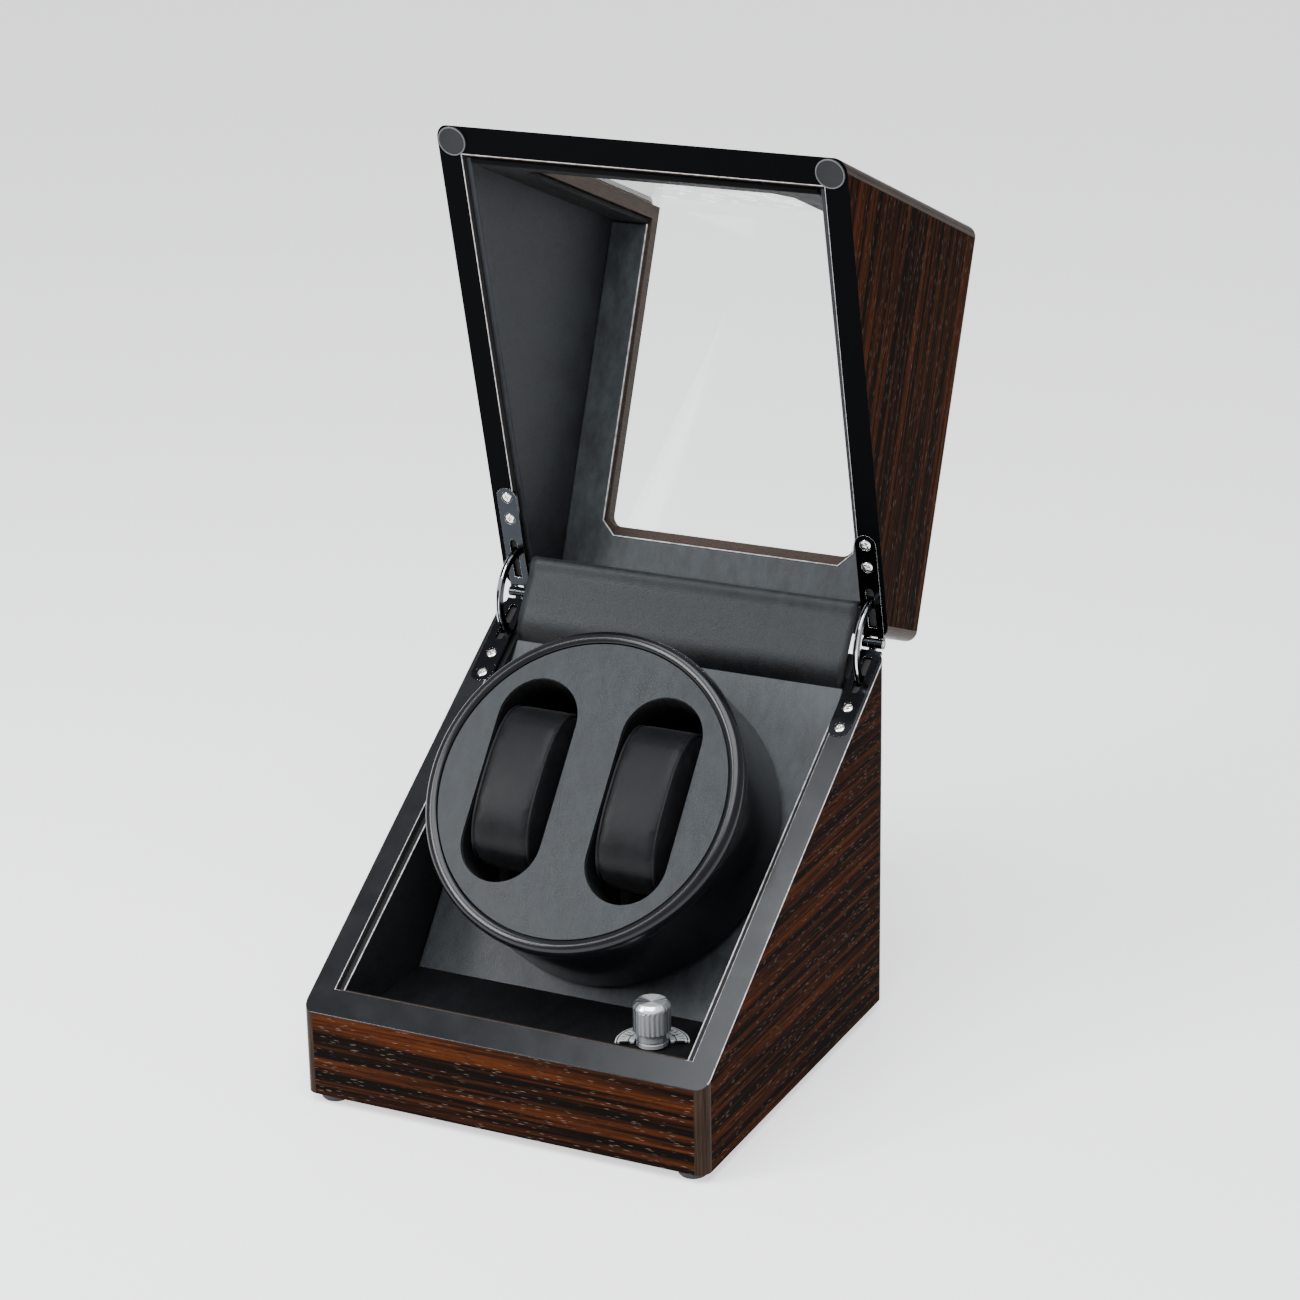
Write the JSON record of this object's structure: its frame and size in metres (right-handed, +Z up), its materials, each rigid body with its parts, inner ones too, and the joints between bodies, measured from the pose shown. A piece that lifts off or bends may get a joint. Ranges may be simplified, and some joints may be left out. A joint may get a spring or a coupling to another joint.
{
  "type": "watch winder box",
  "caption": "Wood veneered watch winder box: leather lined base and hinged glazed lid cut apart on a slant, tilted motor driven turntable with removable watch pillows, control knob.",
  "frame": {"origin": "middle of the underside of the base's bottom panel", "axes": "+X to the right, +Y to the rear (hinge side), +Z up"},
  "size_m": [0.18, 0.2779, 0.3754],
  "materials": {
    "base_front_liner": "fine grained dark grey",
    "base_front_panel": "semi-gloss ebony veneer",
    "base_hinge_leaf_left": "polished",
    "base_hinge_leaf_right": "polished",
    "base_left_liner": "fine grained dark grey",
    "base_left_panel": "semi-gloss ebony veneer",
    "base_rear_liner": "fine grained dark grey",
    "base_rear_panel": "semi-gloss ebony veneer",
    "base_right_liner": "fine grained dark grey",
    "base_right_panel": "semi-gloss ebony veneer",
    "bottom_panel": "raw fibreboard",
    "control_board": "green circuit board",
    "control_knob": "satin turned",
    "control_ledge": "fine grained dark grey",
    "drive_hub": "plain",
    "drive_motor": "plain",
    "drive_shaft": "plain",
    "drum_insert": "moulded black",
    "drum_shell": "gloss black",
    "face_leather": "fine grained dark grey",
    "foot_front_left": "matt",
    "foot_front_right": "matt",
    "foot_rear_left": "matt",
    "foot_rear_right": "matt",
    "gearbox": "plain",
    "hinge_pin_left": "plain",
    "hinge_pin_right": "plain",
    "hinge_screw_base_left_1": "polished",
    "hinge_screw_base_left_2": "polished",
    "hinge_screw_base_right_1": "polished",
    "hinge_screw_base_right_2": "polished",
    "hinge_screw_lid_left_1": "polished",
    "hinge_screw_lid_left_2": "polished",
    "hinge_screw_lid_right_1": "polished",
    "hinge_screw_lid_right_2": "polished",
    "hinge_stay_left": "polished",
    "hinge_stay_right": "polished",
    "lid_front_liner": "fine grained dark grey",
    "lid_front_panel": "semi-gloss ebony veneer",
    "lid_hinge_leaf_left": "polished",
    "lid_hinge_leaf_right": "polished",
    "lid_left_liner": "fine grained dark grey",
    "lid_left_panel": "semi-gloss ebony veneer",
    "lid_rear_liner": "fine grained dark grey",
    "lid_rear_panel": "semi-gloss ebony veneer",
    "lid_right_liner": "fine grained dark grey",
    "lid_right_panel": "semi-gloss ebony veneer",
    "lid_stop_pad_left": "grey soft pad",
    "lid_stop_pad_right": "grey soft pad",
    "lid_top_liner": "fine grained dark grey",
    "lid_top_panel": "semi-gloss ebony veneer",
    "motor_plate": "plain",
    "power_inlet": "moulded black",
    "rotary_switch": "moulded",
    "scale_plate": "satin turned",
    "shaft_bush": "turned",
    "slanted_panel": "fine grained dark grey",
    "watch_pillow_left": "fine grained dark grey",
    "watch_pillow_right": "fine grained dark grey",
    "window_pane": "clear acrylic"
  },
  "bodies": {
    "base": {"base_front_liner": "base_front_liner", "base_front_panel": "base_front_panel", "base_hinge_leaf_left": "base_hinge_leaf_left", "base_hinge_leaf_right": "base_hinge_leaf_right", "base_left_liner": "base_left_liner", "base_left_panel": "base_left_panel", "base_rear_liner": "base_rear_liner", "base_rear_panel": "base_rear_panel", "base_right_liner": "base_right_liner", "base_right_panel": "base_right_panel", "bottom_panel": "bottom_panel", "control_board": "control_board", "control_ledge": "control_ledge", "drive_motor": "drive_motor", "foot_front_left": "foot_front_left", "foot_front_right": "foot_front_right", "foot_rear_left": "foot_rear_left", "foot_rear_right": "foot_rear_right", "gearbox": "gearbox", "hinge_pin_left": "hinge_pin_left", "hinge_pin_right": "hinge_pin_right", "hinge_screw_base_left_1": "hinge_screw_base_left_1", "hinge_screw_base_left_2": "hinge_screw_base_left_2", "hinge_screw_base_right_1": "hinge_screw_base_right_1", "hinge_screw_base_right_2": "hinge_screw_base_right_2", "motor_plate": "motor_plate", "power_inlet": "power_inlet", "rotary_switch": "rotary_switch", "scale_plate": "scale_plate", "shaft_bush": "shaft_bush", "slanted_panel": "slanted_panel"},
    "lid": {"hinge_screw_lid_left_1": "hinge_screw_lid_left_1", "hinge_screw_lid_left_2": "hinge_screw_lid_left_2", "hinge_screw_lid_right_1": "hinge_screw_lid_right_1", "hinge_screw_lid_right_2": "hinge_screw_lid_right_2", "lid_front_liner": "lid_front_liner", "lid_front_panel": "lid_front_panel", "lid_hinge_leaf_left": "lid_hinge_leaf_left", "lid_hinge_leaf_right": "lid_hinge_leaf_right", "lid_left_liner": "lid_left_liner", "lid_left_panel": "lid_left_panel", "lid_rear_liner": "lid_rear_liner", "lid_rear_panel": "lid_rear_panel", "lid_right_liner": "lid_right_liner", "lid_right_panel": "lid_right_panel", "lid_stop_pad_left": "lid_stop_pad_left", "lid_stop_pad_right": "lid_stop_pad_right", "lid_top_liner": "lid_top_liner", "lid_top_panel": "lid_top_panel", "window_pane": "window_pane"},
    "turntable": {"drum_shell": "drum_shell", "drum_insert": "drum_insert", "face_leather": "face_leather", "drive_hub": "drive_hub", "drive_shaft": "drive_shaft"},
    "stay_left": {"hinge_stay_left": "hinge_stay_left"},
    "stay_right": {"hinge_stay_right": "hinge_stay_right"},
    "knob": {"control_knob": "control_knob"},
    "pillow_left": {"watch_pillow_left": "watch_pillow_left"},
    "pillow_right": {"watch_pillow_right": "watch_pillow_right"}
  },
  "joints": [
    {"name": "lid_hinge", "type": "hinge", "parent": "base", "child": "lid", "pos_m": [0, 0.0918, 0.15889], "axis": [1, 0, 0], "range_deg": [0, 111.4]},
    {"name": "stay_left_swing", "type": "hinge", "parent": "base", "child": "stay_left", "pos_m": [0, 0.0918, 0.15889], "axis": [1, 0, 0], "range_deg": [0, 36.2]},
    {"name": "stay_right_swing", "type": "hinge", "parent": "base", "child": "stay_right", "pos_m": [0, 0.0918, 0.15889], "axis": [1, 0, 0], "range_deg": [0, 36.2]},
    {"name": "turntable_spin", "type": "hinge", "parent": "base", "child": "turntable", "pos_m": [0, -0.0139, 0.1188], "axis": [0, -0.7738, 0.6334], "continuous": true},
    {"name": "knob_turn", "type": "hinge", "parent": "base", "child": "knob", "pos_m": [0.046, -0.0455, 0.04], "axis": [0, 0, 1], "range_deg": [-90, 90]},
    {"name": "pillow_left_slide", "type": "slide", "parent": "turntable", "child": "pillow_left", "axis": [0, -0.7738, 0.6334], "range_m": [0, 0.018]},
    {"name": "pillow_right_slide", "type": "slide", "parent": "turntable", "child": "pillow_right", "axis": [0, -0.7738, 0.6334], "range_m": [0, 0.018]}
  ],
  "couplings": [
    {"joint": "stay_left_swing", "follows": "lid_hinge", "ratio": 0.3249},
    {"joint": "stay_right_swing", "follows": "lid_hinge", "ratio": 0.3249}
  ]
}
